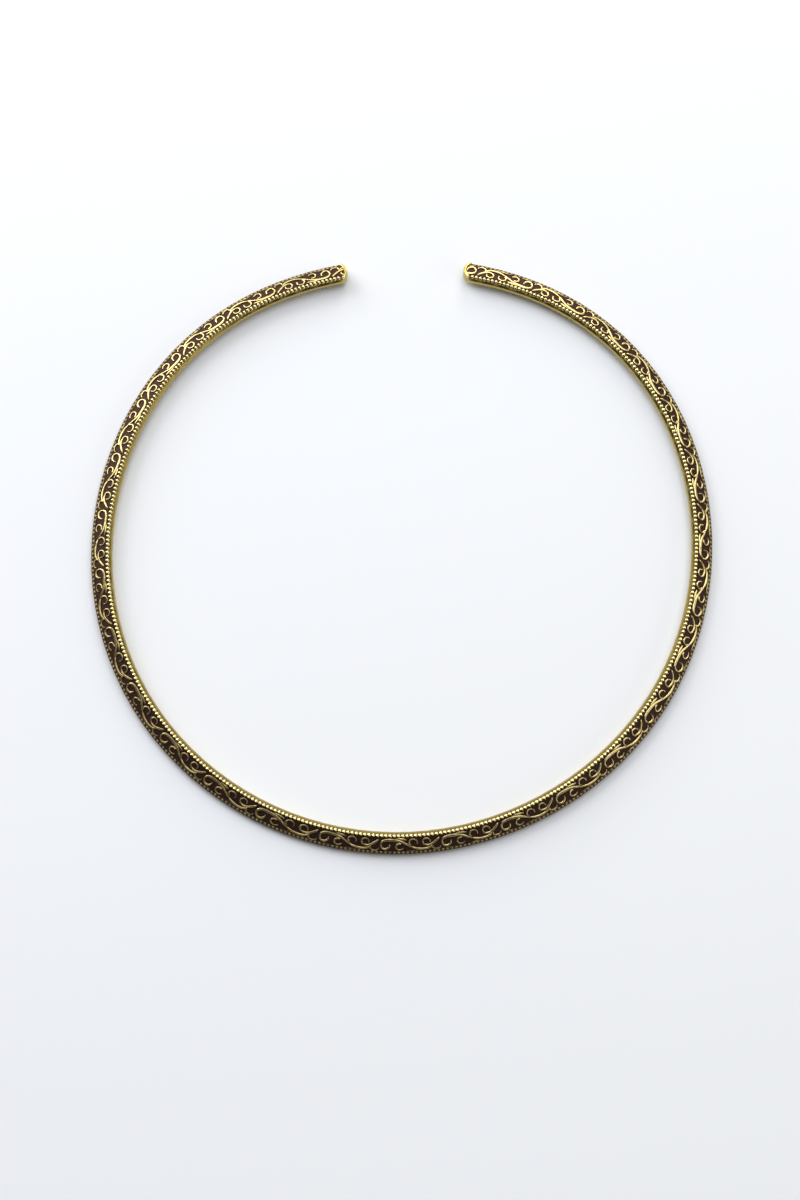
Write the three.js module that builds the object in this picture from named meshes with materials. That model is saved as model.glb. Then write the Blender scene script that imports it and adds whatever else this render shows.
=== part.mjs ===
import * as THREE from "three";

// An open neck ring: one bar of patterned metal, bent round and leaning outwards like a collar.
// Its face carries a running scroll between two rows of beads. It lies on its outer lower edge.
// Millimetres, +Z up, mouth of the ring towards +Y.

// The ring in plan, along the middle of the bar's back, as a radius that waves a little:
// bent by hand, it is slightly oval and flatter towards the mouth.
const MEAN_RADIUS = 67.1;
const OUT_OF_ROUND = [
  { waves: 2, height: 0.99, turn: 56 },
  { waves: 3, height: 0.39, turn: 95 },
  { waves: 4, height: 0.33, turn: 180 },
  { waves: 5, height: 0.16, turn: -95 },
];
const LEFT_TIP_ANGLE = 101.2;
const RIGHT_TIP_ANGLE = 360 + 77.9;

// The bar's section: "across" runs over the face to the outer edge, "height" up from the flat back
const BAR_WIDTH = 4.4;
const FACE_TILT = 26;
const WALL_HEIGHT = 1.3;
const GROUND_HEIGHT = 1.72;
const BACK_CHAMFER = 0.3;
const BACK_SPREAD = 0.29;
const REST_LAND = 0.6;

// Bead rows on both edges of the face
const BEAD_SPACING = 3.94;
const BEAD_CENTRE_HEIGHT = 1.6;
const BEAD_RADIUS = 0.36;
const BEAD_PITCH = 0.9452;
const CREST_REACH = 0.43;
const CREST_LEAN = 45;
const NOTCH_DEPTH = 0.24;

// Rounded ends, each with a plain raised rim
const END_ROUND = 0.4;
const END_BULGE = 0.9;
const END_INSET = 0.72;
const RIM_LENGTH = 0.5;
const RIM_STEP = 0.12;

// The running scroll, raised from the sunk ground of the face. Its repeats come in runs of slightly
// different length round the ring.
const SCROLL_RUNS = [
  { first: 4.02, period: 13.24, repeats: 5 },
  { first: 70.77, period: 13.45, repeats: 8 },
  { first: 179.68, period: 13.38, repeats: 8 },
  { first: 286.68, period: 13.11, repeats: 5 },
  { first: 352.28, period: 13.28, repeats: 4 },
];
const DRAWN_PERIOD = 13.35;
const REPEAT_LEAD = 0.27;
const RELIEF = 0.33;
const STEM_HALF_WIDTH = 0.25;
const CURL_HALF_WIDTH = 0.2;
const FIELD_MARGIN = 0.25;
const LONGEST_FIELD_STEP = 4.6;

const BAR_STATIONS = 76;
const PATH_DIVISIONS = 3000;
const METAL_COLOUR = 0xb0924a;

const radians = THREE.MathUtils.degToRad;
const halfWidth = BAR_WIDTH / 2;
const backEdge = halfWidth + BACK_SPREAD;

// The line of the bent bar, from the left tip round the front to the right tip
class RingPath extends THREE.Curve {
  getPoint(share, target = new THREE.Vector3()) {
    const angle = radians(THREE.MathUtils.lerp(LEFT_TIP_ANGLE, RIGHT_TIP_ANGLE, share));
    let radius = MEAN_RADIUS;
    for (const { waves, height, turn } of OUT_OF_ROUND) {
      radius += height * Math.cos(waves * angle - radians(turn));
    }
    return target.set(radius * Math.cos(angle), radius * Math.sin(angle), 0);
  }
}

const path = new RingPath();
path.arcLengthDivisions = PATH_DIVISIONS;
const barLength = path.getLength();

// Where the horizontal land, which the ring rests on, cuts the outer lower corner of the section
const sine = Math.sin(radians(FACE_TILT));
const cosine = Math.cos(radians(FACE_TILT));
const landOnBack = halfWidth - REST_LAND * cosine;
const landOnWall = REST_LAND * sine;
const backMiddleZ = landOnBack * sine;

// A point of the leaning bar, from its distance along the ring and its place in the section
function place(along, across, height) {
  const share = THREE.MathUtils.clamp(along / barLength, 0, 1);
  const point = path.getPointAt(share);
  const tangent = path.getTangentAt(share);
  const out = across * cosine + height * sine;
  point.x += tangent.y * out;
  point.y -= tangent.x * out;
  point.z = backMiddleZ - across * sine + height * cosine;
  return point;
}

// How far the rounded end falls back from the tip, towards the edges of the bar
function endSetBack(across) {
  return END_ROUND + END_BULGE * (across / halfWidth) ** 2;
}

// Distances along the bar of the points on a plain lengthwise edge
function plainStops(across) {
  const edge = endSetBack(across);
  const stops = [edge];
  for (let i = 1; i < BAR_STATIONS; i++) stops.push((barLength * i) / BAR_STATIONS);
  stops.push(barLength - edge);
  return stops;
}

// A lengthwise edge of constant section
function plainEdge(across, height) {
  return plainStops(across).map((along) => ({ along, across, height }));
}

// Distances along the bar at which one repeat of the scroll ends and the next begins
function repeatStarts() {
  const starts = [SCROLL_RUNS[0].first - SCROLL_RUNS[0].period];
  for (const { first, period, repeats } of SCROLL_RUNS) {
    for (let i = 0; i < repeats; i++) starts.push(first + period * i);
  }
  starts.push(starts.at(-1) + SCROLL_RUNS.at(-1).period);
  return starts;
}

// The foot of a bead row: the sunk ground meets it, and the rim at each end stands up again
function groundEdge(across) {
  const edge = endSetBack(across);
  const fieldStart = edge + RIM_LENGTH + RIM_STEP;
  const fieldEnd = barLength - fieldStart;
  const inField = (along) => along > fieldStart && along < fieldEnd;
  const cuts = [fieldStart, ...repeatStarts().map((start) => start - REPEAT_LEAD).filter(inField), fieldEnd];
  const stop = (along, height, cut = false) => ({ along, across, height, cut });
  const rimHeight = GROUND_HEIGHT + RELIEF;
  const stops = [stop(edge, rimHeight), stop(edge + RIM_LENGTH, rimHeight)];
  cuts.forEach((cut, i) => {
    stops.push(stop(cut, GROUND_HEIGHT, true));
    if (i === cuts.length - 1) return;
    const steps = Math.ceil((cuts[i + 1] - cut) / LONGEST_FIELD_STEP);
    for (let k = 1; k < steps; k++) {
      stops.push(stop(THREE.MathUtils.lerp(cut, cuts[i + 1], k / steps), GROUND_HEIGHT));
    }
  });
  stops.push(stop(barLength - edge - RIM_LENGTH, rimHeight), stop(barLength - edge, rimHeight));
  return stops;
}

// The crest of a bead row: high on each bead, low in the notch before and after it
function beadEdge(side) {
  const lean = radians(CREST_LEAN);
  const crest = (along, radius) => ({
    along,
    across: side * (BEAD_SPACING / 2 + radius * Math.cos(lean)),
    height: BEAD_CENTRE_HEIGHT + radius * Math.sin(lean),
  });
  const edge = endSetBack(BEAD_SPACING / 2);
  const start = edge + RIM_LENGTH;
  const beads = Math.floor((barLength - 2 * start) / BEAD_PITCH);
  const pitch = (barLength - 2 * start) / beads;
  const points = [crest(edge, CREST_REACH)];
  for (let i = 0; i < beads; i++) {
    points.push(crest(start + pitch * i, CREST_REACH - NOTCH_DEPTH));
    points.push(crest(start + pitch * (i + 0.5), CREST_REACH));
  }
  points.push(crest(start + pitch * beads, CREST_REACH - NOTCH_DEPTH));
  points.push(crest(barLength - edge, CREST_REACH));
  return points;
}

// Vertices and triangles of a closed mesh in the making
class MeshDraft {
  constructor() {
    this.positions = [];
    this.triangles = [];
  }

  point(vector) {
    this.positions.push(vector.x, vector.y, vector.z);
    return this.positions.length / 3 - 1;
  }

  triangle(a, b, c) {
    this.triangles.push(a, b, c);
  }

  // Fills the strip between two lengthwise edges, which may have different numbers of points
  stitch(first, second) {
    let i = 0;
    let j = 0;
    while (i < first.length - 1 || j < second.length - 1) {
      const nextFirst = i < first.length - 1 ? first[i + 1].along : Infinity;
      const nextSecond = j < second.length - 1 ? second[j + 1].along : Infinity;
      if (nextFirst <= nextSecond) {
        this.triangle(first[i].index, first[i + 1].index, second[j].index);
        i += 1;
      } else {
        this.triangle(first[i].index, second[j + 1].index, second[j].index);
        j += 1;
      }
    }
  }
}

// The bar with its bead rows and its carved face, closed at the rounded ends
function makeBar() {
  const foot = BEAD_SPACING / 2 - BEAD_RADIUS;
  const outerFoot = groundEdge(foot);
  const innerFoot = groundEdge(-foot);
  const edges = [
    plainEdge(-backEdge + BACK_CHAMFER, 0),
    plainEdge(landOnBack, 0),
    plainEdge(halfWidth, landOnWall),
    plainEdge(halfWidth, WALL_HEIGHT),
    beadEdge(1),
    outerFoot,
    innerFoot,
    beadEdge(-1),
    plainEdge(-halfWidth, WALL_HEIGHT),
    plainEdge(-backEdge, BACK_CHAMFER),
  ];
  const draft = new MeshDraft();
  for (const edge of edges) {
    for (const stop of edge) stop.index = draft.point(place(stop.along, stop.across, stop.height));
  }
  edges.forEach((edge, i) => {
    if (edge === outerFoot) addFace(draft, innerFoot, outerFoot);
    else draft.stitch(edge, edges[(i + 1) % edges.length]);
  });
  closeEnd(draft, edges.map((edge) => edge[0]), 0);
  closeEnd(draft, edges.map((edge) => edge.at(-1)).reverse(), barLength);
  return draft;
}

// A rounded tip: the section draws in by one ring and then closes to a point on the tip
function closeEnd(draft, section, tip) {
  const middleHeight = GROUND_HEIGHT / 2;
  const drawnIn = section.map(({ along, across, height }) => {
    const inAcross = across * END_INSET;
    const inHeight = middleHeight + (height - middleHeight) * END_INSET;
    const setBack = endSetBack(inAcross) - END_ROUND;
    return draft.point(place(along < barLength / 2 ? setBack : barLength - setBack, inAcross, inHeight));
  });
  const centre = draft.point(place(tip, 0, middleHeight));
  section.forEach((stop, i) => {
    const next = (i + 1) % section.length;
    draft.triangle(stop.index, section[next].index, drawnIn[i]);
    draft.triangle(section[next].index, drawnIn[next], drawnIn[i]);
    draft.triangle(drawnIn[i], drawnIn[next], centre);
  });
}

// One repeat of the scroll: x along the bar, y across the face. A stem starts in a hook, waves up over
// a crest and ends in a leaf; side curls stand in its hollows.
function curl([x, y], [radiusAlong, radiusAcross], from, to, steps) {
  const arc = new THREE.EllipseCurve(x, y, radiusAlong, radiusAcross, radians(from), radians(to), to < from);
  return { half: CURL_HALF_WIDTH, line: arc.getPoints(steps) };
}

const STEM = {
  half: STEM_HALF_WIDTH,
  line: [
    [1.95, -0.2],
    [1.6, 0.72],
    [0.7, 0.92],
    [0.05, 0],
    [0.7, -1.05],
    [2.1, -1.26],
    [4.2, -0.9],
    [5.8, -0.1],
    [7.0, 0.6],
    [8.5, 1.02],
    [10.2, 0.7],
    [11.7, -0.2],
    [13.0, -1.3],
  ].map(([x, y]) => new THREE.Vector2(x, y)),
};
const SCROLL_STROKES = [
  STEM,
  curl([4.2, 0.4], [0.88, 0.7], -80, -330, 4),
  curl([7.1, -0.62], [0.9, 0.72], 140, 385, 4),
  curl([10.0, -0.6], [0.8, 0.74], 60, 370, 5),
  curl([12.05, 0.78], [0.9, 0.55], 200, -5, 3),
];

// A stroke's outline on the ground and its raised crest; both tips taper to a point on the ground
function shapeStroke({ line, half }) {
  const inner = line.slice(1, -1);
  const sides = inner.map((point, i) => {
    const way = line[i + 2].clone().sub(line[i]).setLength(half);
    return new THREE.Vector2(-way.y, way.x);
  });
  return {
    first: line[0],
    last: line.at(-1),
    left: inner.map((point, i) => point.clone().add(sides[i])),
    right: inner.map((point, i) => point.clone().sub(sides[i])),
    crest: inner,
  };
}

// The two sloping sides of a stroke, between its outline on the ground and its crest
function addStrokeSides(draft, { first, last, left, right, crest }) {
  draft.triangle(first, left[0], crest[0]);
  draft.triangle(first, crest[0], right[0]);
  for (let i = 0; i < crest.length - 1; i++) {
    draft.triangle(left[i], left[i + 1], crest[i]);
    draft.triangle(left[i + 1], crest[i + 1], crest[i]);
    draft.triangle(crest[i], crest[i + 1], right[i]);
    draft.triangle(crest[i + 1], right[i + 1], right[i]);
  }
  draft.triangle(last, crest.at(-1), left.at(-1));
  draft.triangle(last, right.at(-1), crest.at(-1));
}

// One repeat of the field between the bead rows: the ground with its strokes standing on it
function addRepeat(draft, innerFoot, outerFoot, start, period) {
  const border = [...innerFoot, ...outerFoot.toReversed()];
  const contour = border.map(({ along, across }) => new THREE.Vector2(along, across));
  const corners = border.map(({ index }) => index);
  const low = innerFoot[0].along + FIELD_MARGIN;
  const high = innerFoot.at(-1).along - FIELD_MARGIN;
  const isWhole = period < high - low + REPEAT_LEAD + 2 * FIELD_MARGIN;
  const holes = [];
  for (const { line, half } of SCROLL_STROKES) {
    const laid = line.map(({ x, y }) => new THREE.Vector2(start + (x * period) / DRAWN_PERIOD, y));
    const kept = isWhole ? laid : laid.filter(({ x }) => x > low && x < high);
    if (kept.length < 3) continue;
    const shape = shapeStroke({ line: kept, half });
    const onGround = ({ x, y }) => {
      corners.push(draft.point(place(x, y, GROUND_HEIGHT)));
      return corners.at(-1);
    };
    holes.push([shape.first, ...shape.left, shape.last, ...shape.right.toReversed()]);
    const first = onGround(shape.first);
    const left = shape.left.map(onGround);
    const last = onGround(shape.last);
    const right = shape.right.toReversed().map(onGround).toReversed();
    const crest = shape.crest.map(({ x, y }) => draft.point(place(x, y, GROUND_HEIGHT + RELIEF)));
    addStrokeSides(draft, { first, last, left, right, crest });
  }
  for (const [a, b, c] of THREE.ShapeUtils.triangulateShape(contour, holes)) {
    draft.triangle(corners[a], corners[c], corners[b]);
  }
}

// The whole face: a plain rim at each end and every repeat of the scroll between them
function addFace(draft, innerFoot, outerFoot) {
  const cuts = innerFoot.flatMap((stop, i) => (stop.cut ? [i] : []));
  const starts = repeatStarts();
  draft.stitch(outerFoot.slice(0, cuts[0] + 1), innerFoot.slice(0, cuts[0] + 1));
  for (let i = 0; i < cuts.length - 1; i++) {
    const from = cuts[i];
    const to = cuts[i + 1] + 1;
    const period = starts[i + 1] - starts[i];
    addRepeat(draft, innerFoot.slice(from, to), outerFoot.slice(from, to), starts[i], period);
  }
  draft.stitch(outerFoot.slice(cuts.at(-1)), innerFoot.slice(cuts.at(-1)));
}

const bar = makeBar();
const geometry = new THREE.BufferGeometry();
geometry.setAttribute("position", new THREE.Float32BufferAttribute(bar.positions, 3));
geometry.setIndex(bar.triangles);

// The origin is under the middle of the ring, on the surface it lies on
geometry.computeBoundingBox();
const { min, max } = geometry.boundingBox;
geometry.translate(-(min.x + max.x) / 2, -(min.y + max.y) / 2, -min.z);
geometry.computeVertexNormals();

const neckRing = new THREE.Mesh(
  geometry,
  new THREE.MeshStandardMaterial({ color: METAL_COLOUR, roughness: 0.4, metalness: 1 }),
);
neckRing.name = "neck_ring";

const torc = new THREE.Group();
torc.add(neckRing);

export default torc;
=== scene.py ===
import math

import bpy
from mathutils import Matrix, Vector


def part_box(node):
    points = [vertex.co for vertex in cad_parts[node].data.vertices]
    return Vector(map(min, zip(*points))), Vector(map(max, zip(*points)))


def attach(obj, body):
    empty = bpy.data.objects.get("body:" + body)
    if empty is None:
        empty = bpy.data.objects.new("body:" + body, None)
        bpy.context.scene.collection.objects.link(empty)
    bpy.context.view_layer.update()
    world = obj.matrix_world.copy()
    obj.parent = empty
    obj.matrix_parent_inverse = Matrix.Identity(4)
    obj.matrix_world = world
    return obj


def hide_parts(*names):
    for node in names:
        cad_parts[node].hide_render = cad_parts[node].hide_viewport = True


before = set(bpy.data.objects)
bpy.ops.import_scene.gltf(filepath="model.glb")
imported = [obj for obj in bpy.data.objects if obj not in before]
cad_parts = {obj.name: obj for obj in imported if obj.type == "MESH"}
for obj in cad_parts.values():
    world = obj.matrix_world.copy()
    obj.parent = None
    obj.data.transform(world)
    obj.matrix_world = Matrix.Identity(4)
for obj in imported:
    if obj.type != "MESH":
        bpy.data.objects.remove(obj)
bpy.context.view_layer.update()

# The neck ring is shaped as a straight bar, in millimetres: X runs along the bar from the left tip,
# Y over the face from the outer edge to the inner edge, Z up from the flat back. It is then leant
# outwards, bent round and brought to metres.
MILLIMETRE = 0.001
WELD_DISTANCE = 0.00005
SLACK = 0.01
SMOOTH_ANGLE = math.radians(55)

# The ring in plan, along the middle of the back: slightly oval and flatter towards the mouth
MEAN_RADIUS = 67.1
OUT_OF_ROUND = (
    {"waves": 2, "height": 0.99, "turn": 56},
    {"waves": 3, "height": 0.39, "turn": 95},
    {"waves": 4, "height": 0.33, "turn": 180},
    {"waves": 5, "height": 0.16, "turn": -95},
)
LEFT_TIP_ANGLE = 101.2
RIGHT_TIP_ANGLE = 360 + 77.9
PATH_POINTS = 1200

# Section of the bar
BAR_WIDTH = 4.4
FACE_TILT = math.radians(26)
GROUND_HEIGHT = 1.72
REST_LAND = 0.6
BACK_CHAMFER = 0.3
INNER_CHAMFER = 0.22
OUTER_CHAMFER = 0.08
BACK_SPREAD = 0.29
WALL_SWELL = 0.09
SWELL_HEIGHT = 0.75
FACE_COLUMNS = 8
LENGTH_CUTS = 219

# Rounded ends with a polished rim
END_BULGE = 0.95
LARGEST_BULGE_SHARE = 1.2
RIM_LENGTH = 0.7
RIM_STEP = 0.08
RIM_TOP = 2.04
RIM_ROUND = 0.24
RIM_ROUND_STEPS = 3
BAR_INSET = 0.35
STROKE_INSET = 0.8

# Bead rows along both edges of the face
BEAD_HEIGHT = 1.57
BEAD_HALF_LENGTH = 0.4
INNER_BEAD = {"line": 1.97, "half_width": 0.5, "reach": 0.31, "lean": math.radians(-45)}
OUTER_BEAD = {"line": -1.86, "half_width": 0.42, "reach": 0.27, "lean": math.radians(30)}
BEAD_PITCH = 0.9452
BEAD_COUNT = 414
BEAD_SIDES = 8
BEAD_RINGS = 6

# The running scroll: its repeats come in runs of slightly different length round the ring
SCROLL_RUNS = (
    {"first": 4.02, "period": 13.24, "repeats": 5},
    {"first": 70.77, "period": 13.45, "repeats": 8},
    {"first": 179.68, "period": 13.38, "repeats": 8},
    {"first": 286.68, "period": 13.11, "repeats": 5},
    {"first": 352.28, "period": 13.28, "repeats": 4},
)
DRAWN_PERIOD = 13.35
STROKE_RADIUS = 0.24
STROKE_LIFT = 0.06
STROKE_SIDE_STEPS = 2
STROKE_RESOLUTION = 3

# One repeat of the scroll. Each stroke is a list of points: along the bar, out over the face, thickness.
STEM = (
    (1.98, -0.28, 0.55), (1.95, 0.1, 0.85), (1.75, 0.6, 1.1), (1.05, 0.96, 1.15), (0.32, 0.66, 0.95),
    (0.04, 0.0, 0.9), (0.26, -0.68, 1.1), (1.0, -1.04, 1.6), (2.0, -1.12, 2.1), (3.3, -1.03, 1.9),
    (4.6, -0.72, 1.3), (5.7, -0.14, 1.0), (6.5, 0.36, 0.8), (7.0, 0.62, 0.35),
)
CREST = (
    (6.35, 0.22, 0.5), (7.2, 0.66, 1.05), (8.3, 0.96, 1.2), (9.5, 1.02, 1.15), (10.5, 0.86, 1.05),
    (11.3, 0.42, 1.0),
)
LEAF = (
    (9.45, 0.02, 0.7), (10.2, 0.26, 1.05), (11.1, 0.12, 1.35), (12.0, -0.44, 1.3), (12.65, -0.98, 0.95),
    (12.98, -1.3, 0.4),
)
UPPER_CURL = {"centre": (4.2, 0.4), "radii": (0.88, 0.7), "turn": (-75, -330), "thickness": 0.88}
FIRST_CURL = {"centre": (7.1, -0.5), "radii": (0.9, 0.78), "turn": (132, 385), "thickness": 0.88}
SECOND_CURL = {"centre": (10.0, -0.52), "radii": (0.82, 0.78), "turn": (118, 372), "thickness": 0.88}
TOP_CURL = {"centre": (12.1, 0.78), "radii": (0.88, 0.56), "turn": (205, -5), "thickness": 0.8}
CURL_POINTS = 7
CURL_ROOT = 1.08
CURL_TAPER = 0.3
SPANDREL_LEAVES = (
    ((3.2, -1.46, 0.4), (4.0, -1.42, 0.95), (4.9, -1.3, 1.3), (5.7, -1.16, 0.7)),
    ((0.7, 1.4, 0.3), (1.7, 1.45, 0.5), (2.9, 1.38, 0.3)),
    ((5.5, 1.34, 0.3), (7.0, 1.42, 0.55), (9.0, 1.46, 0.3)),
)

# Where patina gives way to rubbed metal on the straight bar. Each pair is a soft step from none to all.
FIELD_EDGE = (1.66, 1.56)
SCROLL_RUB = (0.09, 0.24)
INNER_ROW_EDGE = (1.56, 1.64)
INNER_BEAD_RUB = (0.08, 0.18)
OUTER_ROW_EDGE = (-1.5, -1.58)
OUTER_BEAD_RUB = (-0.02, 0.1)
WALL_TOP = (1.66, 1.58)
# The walls are painted darker at the top and lighter downwards: painted shade and light
WALL_PAINTED_LIGHT = (1.85, 0.25)
# Painted highlight along the lower lip of the inner wall
LIP_HIGHLIGHT_TOP = (0.32, 0.14)
RIM_EDGE = (0.78, 0.66)

# How much of the inner beads' gold the outer beads get: the outer row is painted darker
OUTER_ROW_GOLD_SHARE = 0.42

# The scroll is rubbed most near the right tip and least at the left of the front
# Its gold is also painted lighter near the right tip and darker at the left of the front: painted light
MOST_RUBBED_AND_LIT_AT = 350
RUB_SWING = 0.045
PAINTED_LIGHT_SWING = 0.3

# The metal's colours, each pair from its dull to its bright side, and its surface
# The scroll's gold goes from dull to bright by stains and by painted light round the ring
SCROLL_GOLD = ((0.50, 0.385, 0.155), (0.86, 0.71, 0.32))
# A darker, deeper copy of the gold, painted shade on the walls. The rims take the same colour.
SHADED_WALL_GOLD = ((0.42, 0.31, 0.07), (0.57, 0.44, 0.14))
# Also painted along the inner wall's lip as a painted highlight
BEAD_GOLD = (0.84, 0.71, 0.32)
PATINA_BROWN = ((0.026, 0.012, 0.009), (0.07, 0.033, 0.025))
STAIN = {"Scale": 0.9, "Detail": 4}
STAIN_DEPTH = 0.12
GRAIN = {"Scale": 7, "Detail": 3}
GRAIN_BUMP = {"Strength": 0.25, "Distance": 0.00005}
WALL_POLISH = 0.95
PATINA_METALLIC = 0.6
PATINA_ROUGHNESS = 0.5
GRAIN_ROUGHNESS = 0.14
POLISH_SMOOTHING = 0.37
SPECULAR_LEVEL = 0.25

# The plain floor and the soft room
FLOOR_SIZE = 1.6
FLOOR_COLOUR = (0.845, 0.87, 0.92, 1)
FLOOR_ROUGHNESS = 0.9
FLOOR_SPECULAR = 0.1
WHITE = (1.0, 1.0, 1.0)
ROOM_COLOUR = (0.93, 0.96, 1.0, 1)
ROOM_BRIGHTNESS = 0.1

# The photograph's camera, 800 by 1200 pixels
IMAGE_HEIGHT = 1200
FOCAL_PIXELS = 2500
SENSOR = 36.0
CAMERA_TILT = math.radians(12.1)
CAMERA_SIDE_TILT = math.radians(-1.3)
CAMERA_DISTANCE = 0.5625
AIM_POINT = Vector((-0.0006, -0.01108, 0.0))


def deselect_all():
    bpy.ops.object.select_all(action="DESELECT")


def make_active(piece):
    deselect_all()
    piece.select_set(True)
    bpy.context.view_layer.objects.active = piece


def apply_place(piece):
    make_active(piece)
    bpy.ops.object.transform_apply(location=True, rotation=True, scale=True)


def join_all(pieces):
    make_active(pieces[0])
    for piece in pieces:
        piece.select_set(True)
    bpy.ops.object.join()
    return bpy.context.view_layer.objects.active


def select_edges(piece, test):
    """Selects the edges whose two ends pass the test together. Edit mode is on."""
    bpy.ops.mesh.select_all(action="DESELECT")
    bpy.ops.object.mode_set(mode="OBJECT")
    vertices = piece.data.vertices
    for edge in piece.data.edges:
        first, second = (vertices[index].co for index in edge.vertices)
        edge.select = test(first, second)
    bpy.ops.object.mode_set(mode="EDIT")


def select_edges_where(piece, test):
    """Selects the edges whose ends each pass the test. Edit mode is on."""
    select_edges(piece, lambda first, second: test(first) and test(second))


def cut_rest_land(piece):
    """Cuts the outer lower corner off, where the leaning bar rests on the table."""
    on_back = BAR_WIDTH / 2 - REST_LAND * math.cos(FACE_TILT)
    bpy.ops.mesh.select_all(action="SELECT")
    bpy.ops.mesh.bisect(
        plane_co=(0, -on_back, 0),
        plane_no=(0, -math.sin(FACE_TILT), -math.cos(FACE_TILT)),
        use_fill=True,
        clear_outer=True,
    )


def cut_columns():
    """Cuts the block lengthwise into even columns over its width."""
    for i in range(1, FACE_COLUMNS):
        across = BAR_WIDTH * (i / FACE_COLUMNS - 0.5)
        bpy.ops.mesh.select_all(action="SELECT")
        bpy.ops.mesh.bisect(plane_co=(0, across, 0), plane_no=(0, 1, 0))


def bulge_end(piece, is_end, inward):
    """Rounds an end in plan: its points fall back from the tip towards the edges of the bar."""
    bpy.ops.object.mode_set(mode="OBJECT")
    for vertex in piece.data.vertices:
        if is_end(vertex.co):
            share = (2 * vertex.co.y / BAR_WIDTH) ** 2
            vertex.co.x += inward * END_BULGE * min(LARGEST_BULGE_SHARE, share)
    bpy.ops.object.mode_set(mode="EDIT")


def ring_point(angle):
    radius = MEAN_RADIUS
    for wave in OUT_OF_ROUND:
        radius += wave["height"] * math.cos(wave["waves"] * angle - math.radians(wave["turn"]))
    return Vector((radius * math.cos(angle), radius * math.sin(angle), 0))


def make_ring_path():
    """The line that the bar is bent along, from the left tip round the front to the right tip."""
    curve = bpy.data.curves.new("ring_path", "CURVE")
    curve.dimensions = "3D"
    spline = curve.splines.new("POLY")
    spline.points.add(PATH_POINTS)
    for i, point in enumerate(spline.points):
        share = i / PATH_POINTS
        angle = math.radians(LEFT_TIP_ANGLE + share * (RIGHT_TIP_ANGLE - LEFT_TIP_ANGLE))
        point.co = (*ring_point(angle), 1)
    path = bpy.data.objects.new("ring_path", curve)
    bpy.context.collection.objects.link(path)
    length = spline.calc_length()
    return path, length


def make_bar(length):
    """The plain bar: flat back, chamfered edges, sunk ground, rounded ends."""
    span = length - 2 * BAR_INSET
    deselect_all()
    bpy.ops.mesh.primitive_cube_add(
        size=1, location=(length / 2, 0, GROUND_HEIGHT / 2), scale=(span, BAR_WIDTH, GROUND_HEIGHT)
    )
    bar = bpy.context.object
    bar.name = "neck_ring_dressed"
    apply_place(bar)
    half = BAR_WIDTH / 2 - SLACK
    bpy.ops.object.mode_set(mode="EDIT")
    bpy.ops.mesh.select_mode(type="EDGE")
    for side, chamfer in ((-1, OUTER_CHAMFER), (1, INNER_CHAMFER)):
        select_edges_where(bar, lambda co: co.y * side > half and co.z > GROUND_HEIGHT - SLACK)
        bpy.ops.mesh.bevel(offset=chamfer, offset_type="OFFSET", segments=1)
    select_edges_where(bar, lambda co: co.y > half and co.z < SLACK)
    bpy.ops.mesh.bevel(offset=BACK_CHAMFER, segments=2)
    select_edges_where(bar, lambda co: co.y > 0 and co.z < GROUND_HEIGHT / 2)
    bpy.ops.transform.translate(value=(0, BACK_SPREAD, 0))
    bpy.ops.mesh.select_all(action="SELECT")
    bpy.ops.mesh.bisect(plane_co=(0, 0, SWELL_HEIGHT), plane_no=(0, 0, 1))
    select_edges_where(bar, lambda co: co.y > half and abs(co.z - SWELL_HEIGHT) < SLACK)
    bpy.ops.transform.translate(value=(0, WALL_SWELL, 0))
    cut_rest_land(bar)
    cut_columns()
    middle = length / 2
    select_edges(bar, lambda first, second: (first.x - middle) * (second.x - middle) < 0)
    bpy.ops.mesh.subdivide(number_cuts=LENGTH_CUTS)
    bulge_end(bar, lambda co: co.x < BAR_INSET + SLACK, 1)
    bulge_end(bar, lambda co: co.x > length - BAR_INSET - SLACK, -1)
    bpy.ops.object.mode_set(mode="OBJECT")
    return bar


def make_rim(start, inward):
    """A polished rim round one end: a rounded block, bowed out in plan."""
    middle = start + inward * RIM_LENGTH / 2
    width = BAR_WIDTH + 2 * RIM_STEP
    deselect_all()
    bpy.ops.mesh.primitive_cube_add(
        size=1, location=(middle, 0, RIM_TOP / 2), scale=(RIM_LENGTH, width, RIM_TOP)
    )
    rim = bpy.context.object
    apply_place(rim)
    bpy.ops.object.mode_set(mode="EDIT")
    bpy.ops.mesh.select_mode(type="EDGE")
    bpy.ops.mesh.select_all(action="SELECT")
    bpy.ops.mesh.bevel(offset=RIM_ROUND, segments=RIM_ROUND_STEPS)
    cut_rest_land(rim)
    cut_columns()
    bulge_end(rim, lambda co: True, inward)
    bpy.ops.object.mode_set(mode="OBJECT")
    return rim


def make_stroke(points):
    """A raised stroke of the scroll: a rounded ridge along a smooth line, thick and thin."""
    curve = bpy.data.curves.new("stroke", "CURVE")
    curve.dimensions = "3D"
    curve.twist_mode = "Z_UP"
    curve.resolution_u = STROKE_RESOLUTION
    curve.bevel_depth = STROKE_RADIUS
    curve.bevel_resolution = STROKE_SIDE_STEPS
    curve.use_fill_caps = True
    spline = curve.splines.new("BEZIER")
    spline.bezier_points.add(len(points) - 1)
    for knot, (along, out, thickness) in zip(spline.bezier_points, points):
        sunk = max(0, thickness - 1) * STROKE_RADIUS
        knot.co = (along, -out, GROUND_HEIGHT + STROKE_LIFT - sunk)
        knot.radius = thickness
        knot.handle_left_type = "AUTO"
        knot.handle_right_type = "AUTO"
    stroke = bpy.data.objects.new("stroke", curve)
    bpy.context.collection.objects.link(stroke)
    make_active(stroke)
    bpy.ops.object.convert(target="MESH")
    stroke = bpy.context.object
    bpy.ops.object.mode_set(mode="EDIT")
    bpy.ops.mesh.select_all(action="SELECT")
    bpy.ops.mesh.remove_doubles(threshold=WELD_DISTANCE)
    bpy.ops.mesh.normals_make_consistent(inside=False)
    bpy.ops.object.mode_set(mode="OBJECT")
    return stroke


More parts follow.
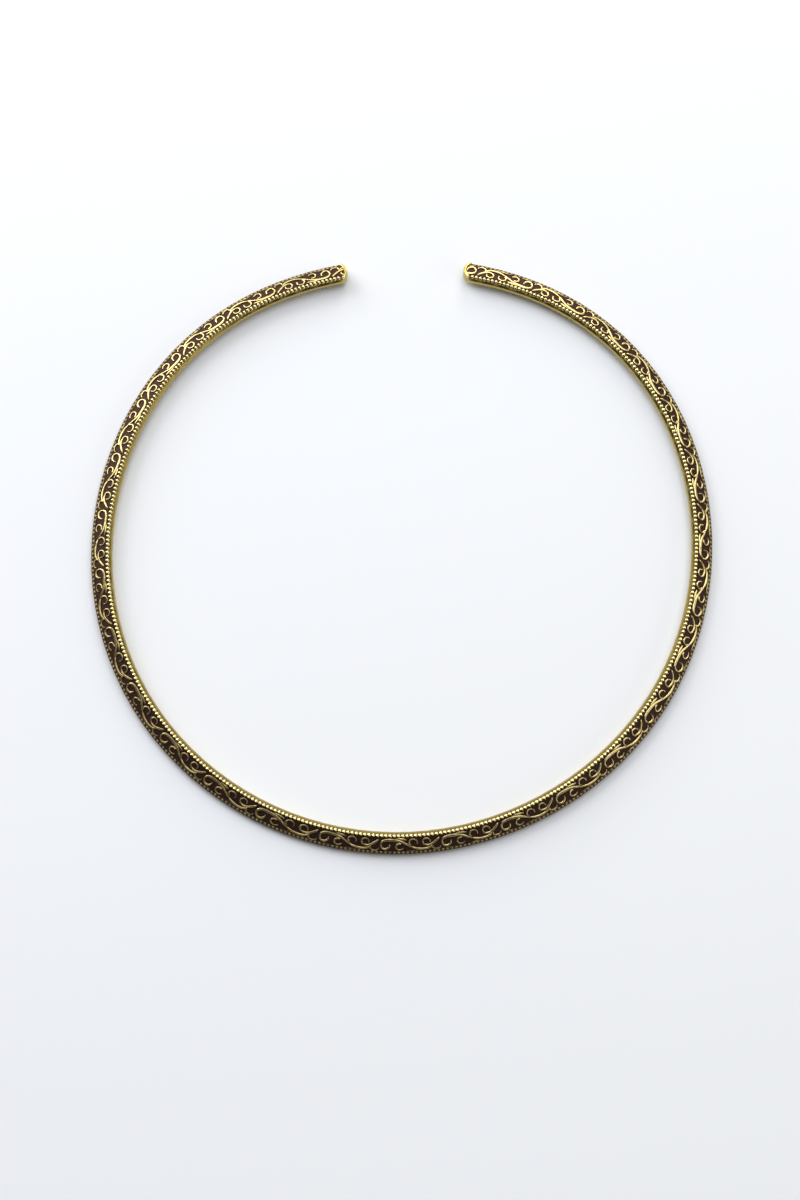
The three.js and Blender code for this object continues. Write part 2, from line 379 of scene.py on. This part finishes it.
def curl_points(curl):
    """Points of a small curl, round part of an oval, thinner towards its free end."""
    first, last = curl["turn"]
    points = []
    for i in range(CURL_POINTS):
        share = i / (CURL_POINTS - 1)
        angle = math.radians(first + share * (last - first))
        along = curl["centre"][0] + curl["radii"][0] * math.cos(angle)
        out = curl["centre"][1] + curl["radii"][1] * math.sin(angle)
        points.append((along, out, curl["thickness"] * (CURL_ROOT - CURL_TAPER * share)))
    return points


def repeat_spans():
    """Where each repeat of the scroll begins and how long it is."""
    starts = [SCROLL_RUNS[0]["first"] - SCROLL_RUNS[0]["period"]]
    for run in SCROLL_RUNS:
        starts += [run["first"] + run["period"] * i for i in range(run["repeats"])]
    starts.append(starts[-1] + SCROLL_RUNS[-1]["period"])
    return [(start, end - start) for start, end in zip(starts, starts[1:])]


def repeat_strokes(strokes, length):
    """Copies a set of strokes into every repeat along the bar and trims it at the rims."""
    model = join_all([make_stroke(points) for points in strokes])
    copies = []
    for start, period in repeat_spans():
        make_active(model)
        bpy.ops.object.duplicate()
        copy = bpy.context.object
        copy.scale.x = period / DRAWN_PERIOD
        copy.location.x = start
        apply_place(copy)
        copies.append(copy)
    make_active(model)
    bpy.ops.object.delete()
    row = join_all(copies)
    bpy.ops.object.mode_set(mode="EDIT")
    cuts = (
        ((STROKE_INSET, 0, 0), (-1, 0, 0)),
        ((length - STROKE_INSET, 0, 0), (1, 0, 0)),
    )
    for place, outwards in cuts:
        bpy.ops.mesh.select_all(action="SELECT")
        bpy.ops.mesh.bisect(plane_co=place, plane_no=outwards, use_fill=True, clear_outer=True)
    bpy.ops.object.mode_set(mode="OBJECT")
    return row


def make_bead_row(shape, length):
    """A row of beads along one edge of the face."""
    deselect_all()
    bpy.ops.mesh.primitive_uv_sphere_add(
        segments=BEAD_SIDES, ring_count=BEAD_RINGS, radius=1, rotation=(0, math.pi / 2, 0)
    )
    bead = bpy.context.object
    apply_place(bead)
    bead.scale = (BEAD_HALF_LENGTH, shape["half_width"], shape["reach"])
    bead.rotation_euler.x = shape["lean"]
    row_length = BEAD_PITCH * (BEAD_COUNT - 1)
    bead.location = ((length - row_length) / 2, shape["line"], BEAD_HEIGHT)
    apply_place(bead)
    row = bead.modifiers.new("row", "ARRAY")
    row.count = BEAD_COUNT
    row.use_relative_offset = False
    row.use_constant_offset = True
    row.constant_offset_displace = (BEAD_PITCH, 0, 0)
    bpy.ops.object.modifier_apply(modifier=row.name)
    return bead


def grow_together(bar, addition):
    """Unites an addition with the bar into one closed surface."""
    make_active(bar)
    union = bar.modifiers.new("union", "BOOLEAN")
    union.operation = "UNION"
    union.solver = "MANIFOLD"
    union.object = addition
    bpy.ops.object.modifier_apply(modifier=union.name)
    make_active(addition)
    bpy.ops.object.delete()


def bend_round(bar, path):
    """Keeps each point's place on the straight bar, leans the bar outwards and bends it round."""
    unrolled = bar.data.attributes.new("unrolled", "FLOAT_VECTOR", "POINT")
    for vertex, place in zip(bar.data.vertices, unrolled.data):
        place.vector = vertex.co
    bar.rotation_euler.x = FACE_TILT
    apply_place(bar)
    bend = bar.modifiers.new("bend", "CURVE")
    bend.object = path
    bend.deform_axis = "POS_X"
    bpy.ops.object.modifier_apply(modifier=bend.name)
    bar.scale = (MILLIMETRE, MILLIMETRE, MILLIMETRE)
    apply_place(bar)
    make_active(path)
    bpy.ops.object.delete()


def settle_on_solid(piece, node):
    """Moves the ring onto the place of its solid."""
    corners = [vertex.co for vertex in piece.data.vertices]
    low = Vector([min(co[axis] for co in corners) for axis in range(3)])
    high = Vector([max(co[axis] for co in corners) for axis in range(3)])
    node_low, node_high = (Vector(corner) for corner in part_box(node))
    shift = (node_low + node_high) / 2 - (low + high) / 2
    shift.z = node_low.z - low.z
    piece.location = shift
    apply_place(piece)


def make_neck_ring():
    path, length = make_ring_path()
    bar = make_bar(length)
    grow_together(bar, join_all([make_rim(0, 1), make_rim(length, -1)]))
    curls = [curl_points(curl) for curl in (UPPER_CURL, FIRST_CURL, SECOND_CURL, TOP_CURL)]
    for strokes in ((STEM,), (CREST,), (LEAF,), curls, SPANDREL_LEAVES):
        grow_together(bar, repeat_strokes(strokes, length))
    grow_together(bar, join_all([make_bead_row(shape, length) for shape in (INNER_BEAD, OUTER_BEAD)]))
    make_active(bar)
    bpy.ops.object.mode_set(mode="EDIT")
    bpy.ops.mesh.select_all(action="SELECT")
    bpy.ops.mesh.remove_doubles(threshold=WELD_DISTANCE)
    bpy.ops.mesh.quads_convert_to_tris()
    bpy.ops.object.mode_set(mode="OBJECT")
    bend_round(bar, path)
    settle_on_solid(bar, "neck_ring")
    bar.data.materials.clear()
    bar.data.materials.append(make_antiqued_brass(length))
    make_active(bar)
    bpy.ops.object.shade_smooth_by_angle(angle=SMOOTH_ANGLE)
    return bar


def add_node(tree, kind, **settings):
    node = tree.nodes.new(kind)
    for name, value in settings.items():
        setattr(node, name, value)
    return node


def math_node(tree, operation, *values, clamp=False):
    node = add_node(tree, "ShaderNodeMath", operation=operation, use_clamp=clamp)
    for socket, value in zip(node.inputs, values):
        if isinstance(value, (int, float)):
            socket.default_value = value
        else:
            tree.links.new(value, socket)
    return node.outputs[0]


def soft_step(tree, value, limits):
    """None at the first limit, all at the second, smooth between."""
    node = add_node(tree, "ShaderNodeMapRange", interpolation_type="SMOOTHSTEP")
    tree.links.new(value, node.inputs["Value"])
    node.inputs["From Min"].default_value, node.inputs["From Max"].default_value = limits
    return node.outputs["Result"]


def mix_colours(tree, share, first, second):
    node = add_node(tree, "ShaderNodeMix", data_type="RGBA")
    tree.links.new(share, node.inputs["Factor"])
    for name, value in (("A", first), ("B", second)):
        socket = next(s for s in node.inputs if s.name == name and s.type == "RGBA")
        if isinstance(value, tuple):
            socket.default_value = (*value, 1)
        else:
            tree.links.new(value, socket)
    return next(s for s in node.outputs if s.type == "RGBA")


def add_noise(tree, place, settings):
    node = add_node(tree, "ShaderNodeTexNoise")
    for name, value in settings.items():
        node.inputs[name].default_value = value
    tree.links.new(place, node.inputs["Vector"])
    return node.outputs["Fac"]


def make_antiqued_brass(bar_length):
    """Rubbed gold-coloured metal with dark brown patina in the sunk ground and between the beads;
    painted light too.
    """
    material = bpy.data.materials.new("antiqued_brass")
    material.use_nodes = True
    tree = material.node_tree
    shader = tree.nodes["Principled BSDF"]
    place = add_node(tree, "ShaderNodeAttribute", attribute_name="unrolled").outputs["Vector"]
    split = add_node(tree, "ShaderNodeSeparateXYZ")
    tree.links.new(place, split.inputs[0])
    along, inwards, height = split.outputs
    across = math_node(tree, "ABSOLUTE", inwards)
    stain = add_noise(tree, place, STAIN)
    grain = add_noise(tree, place, GRAIN)

    # The scroll, more or less rubbed round the ring, its gold lit towards the right tip by painted light
    uneven = math_node(tree, "MULTIPLY_ADD", stain, STAIN_DEPTH, -STAIN_DEPTH / 2)
    from_most = math_node(tree, "SUBTRACT", along, MOST_RUBBED_AND_LIT_AT)
    round_turn = math_node(tree, "MULTIPLY", from_most, 2 * math.pi / bar_length)
    wear_and_light_round_ring = math_node(tree, "COSINE", round_turn)
    rub = math_node(tree, "MULTIPLY_ADD", wear_and_light_round_ring, RUB_SWING, uneven)
    proud = math_node(tree, "SUBTRACT", height, GROUND_HEIGHT)
    in_field = soft_step(tree, across, FIELD_EDGE)
    rubbed_relief = soft_step(tree, math_node(tree, "ADD", proud, rub), SCROLL_RUB)
    rubbed_scroll = math_node(tree, "MULTIPLY", rubbed_relief, in_field)

    # The bead rows: how far each point stands out along the inner beads' lean, or above the ground
    lean = INNER_BEAD["lean"]
    from_line = math_node(tree, "SUBTRACT", inwards, INNER_BEAD["line"])
    from_height = math_node(tree, "SUBTRACT", height, BEAD_HEIGHT)
    sideways = math_node(tree, "MULTIPLY", from_line, -math.sin(lean))
    crest = math_node(tree, "MULTIPLY_ADD", from_height, math.cos(lean), sideways)
    inner_edge = soft_step(tree, inwards, INNER_ROW_EDGE)
    outer_edge = soft_step(tree, inwards, OUTER_ROW_EDGE)
    rubbed_inner = math_node(tree, "MULTIPLY", soft_step(tree, crest, INNER_BEAD_RUB), inner_edge)
    rubbed_outer = math_node(tree, "MULTIPLY", soft_step(tree, proud, OUTER_BEAD_RUB), outer_edge)
    # The outer row is painted darker than the inner one
    dimmed_outer = math_node(tree, "MULTIPLY", rubbed_outer, OUTER_ROW_GOLD_SHARE)
    rubbed_row = math_node(tree, "MAXIMUM", rubbed_inner, dimmed_outer)

    # Walls and back painted darker at the top and lighter downwards; a painted highlight along the inner
    # lip
    on_wall = soft_step(tree, height, WALL_TOP)
    wall_painted_light = soft_step(tree, math_node(tree, "ADD", height, uneven), WALL_PAINTED_LIGHT)
    to_wall = math_node(tree, "SUBTRACT", wall_painted_light, rubbed_scroll)
    scroll_wear_and_wall_light = math_node(tree, "MULTIPLY_ADD", to_wall, on_wall, rubbed_scroll)
    # Painted highlight along the lower lip of the inner wall
    lip_highlight = math_node(tree, "MULTIPLY", soft_step(tree, height, LIP_HIGHLIGHT_TOP), inner_edge)

    # The rims at the two tips
    squared = math_node(tree, "MULTIPLY", across, across)
    bow = math_node(tree, "MULTIPLY", squared, 4 * END_BULGE / BAR_WIDTH ** 2)
    from_right = math_node(tree, "SUBTRACT", bar_length, along)
    to_tip = math_node(tree, "MINIMUM", along, from_right)
    on_rim = soft_step(tree, math_node(tree, "SUBTRACT", to_tip, bow), RIM_EDGE)
    # Wear on the scroll, beads and rims, together with the walls' painted light and shade
    rubbed_and_painted_light = math_node(tree, "MAXIMUM", math_node(tree, "MAXIMUM", scroll_wear_and_wall_light, rubbed_row), on_rim)

    # Painted light: the scroll's gold is lighter towards the right tip and darker at the left of the
    # front
    stain_and_painted_light = math_node(tree, "MULTIPLY_ADD", wear_and_light_round_ring, PAINTED_LIGHT_SWING, stain, clamp=True)
    scroll_gold = mix_colours(tree, stain_and_painted_light, *SCROLL_GOLD)
    # The walls get the darker gold of the painted shade, and the rims take the same colour
    shaded_wall_gold = mix_colours(tree, stain, *SHADED_WALL_GOLD)
    gold = mix_colours(tree, math_node(tree, "MAXIMUM", on_wall, on_rim), scroll_gold, shaded_wall_gold)
    # Pale gold on the rubbed beads, and on the inner wall's lip as a painted highlight
    gold = mix_colours(tree, math_node(tree, "MAXIMUM", rubbed_row, lip_highlight), gold, BEAD_GOLD)
    brown = mix_colours(tree, grain, *PATINA_BROWN)
    tree.links.new(mix_colours(tree, rubbed_and_painted_light, brown, gold), shader.inputs["Base Color"])

    polished_wall = math_node(tree, "MULTIPLY", on_wall, WALL_POLISH)
    polished = math_node(tree, "MAXIMUM", rubbed_and_painted_light, polished_wall)
    metallic = math_node(tree, "MULTIPLY_ADD", polished, 1 - PATINA_METALLIC, PATINA_METALLIC)
    tree.links.new(metallic, shader.inputs["Metallic"])
    unpolished = math_node(tree, "MULTIPLY_ADD", grain, GRAIN_ROUGHNESS, PATINA_ROUGHNESS)
    roughness = math_node(tree, "MULTIPLY_ADD", polished, -POLISH_SMOOTHING, unpolished)
    tree.links.new(roughness, shader.inputs["Roughness"])
    shader.inputs["Specular IOR Level"].default_value = SPECULAR_LEVEL
    bump = add_node(tree, "ShaderNodeBump")
    for name, value in GRAIN_BUMP.items():
        bump.inputs[name].default_value = value
    tree.links.new(grain, bump.inputs["Height"])
    tree.links.new(bump.outputs["Normal"], shader.inputs["Normal"])
    return material


def make_floor():
    deselect_all()
    bpy.ops.mesh.primitive_plane_add(size=FLOOR_SIZE, location=(0, 0, 0))
    floor = bpy.context.object
    floor.name = "floor"
    apply_place(floor)
    material = bpy.data.materials.new("pale_floor")
    material.use_nodes = True
    shader = material.node_tree.nodes["Principled BSDF"]
    shader.inputs["Base Color"].default_value = FLOOR_COLOUR
    shader.inputs["Roughness"].default_value = FLOOR_ROUGHNESS
    shader.inputs["Specular IOR Level"].default_value = FLOOR_SPECULAR
    floor.data.materials.append(material)


def add_panel(name, place, size, brightness, colour=WHITE):
    """A soft light panel that faces the ring."""
    light = bpy.data.lights.new(name, "AREA")
    light.shape = "RECTANGLE"
    light.size, light.size_y = size
    light.energy = brightness * math.pi * light.size * light.size_y
    light.color = colour
    lamp = bpy.data.objects.new(name, light)
    bpy.context.collection.objects.link(lamp)
    facing = (-Vector(place)).to_track_quat("-Z", "Y").to_matrix().to_4x4()
    lamp.matrix_world = Matrix.Translation(place) @ facing


def set_studio_light():
    add_panel("ceiling_panel", place=(0.15, 0.5, 1.2), size=(1.5, 1.3), brightness=2.0)
    add_panel("key_panel", place=(-0.9, 0.85, 0.6), size=(1.1, 0.9), brightness=5.0)
    warm, mild = (1.0, 0.94, 0.8), (1.0, 0.96, 0.88)
    add_panel("back_panel", place=(0.25, 1.25, 0.42), size=(0.6, 0.8), brightness=5.2, colour=warm)
    add_panel("right_panel", place=(1.2, -0.35, 0.45), size=(1.3, 0.7), brightness=1.6, colour=mild)
    world = bpy.data.worlds.new("soft_room")
    world.use_nodes = True
    background = world.node_tree.nodes["Background"]
    background.inputs["Color"].default_value = ROOM_COLOUR
    background.inputs["Strength"].default_value = ROOM_BRIGHTNESS
    bpy.context.scene.world = world
    bpy.context.scene.view_settings.view_transform = "Standard"


def set_camera():
    data = bpy.data.cameras.new("photo_camera")
    data.sensor_width = SENSOR
    data.lens = FOCAL_PIXELS * SENSOR / IMAGE_HEIGHT
    camera = bpy.data.objects.new("photo_camera", data)
    bpy.context.collection.objects.link(camera)
    turn = Matrix.Rotation(CAMERA_SIDE_TILT, 4, "Y") @ Matrix.Rotation(CAMERA_TILT, 4, "X")
    away = Matrix.Translation((0, 0, CAMERA_DISTANCE))
    camera.matrix_world = Matrix.Translation(AIM_POINT) @ turn @ away
    bpy.context.scene.camera = camera


neck_ring = make_neck_ring()
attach(neck_ring, "root")
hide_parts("neck_ring")
make_floor()
set_studio_light()
set_camera()
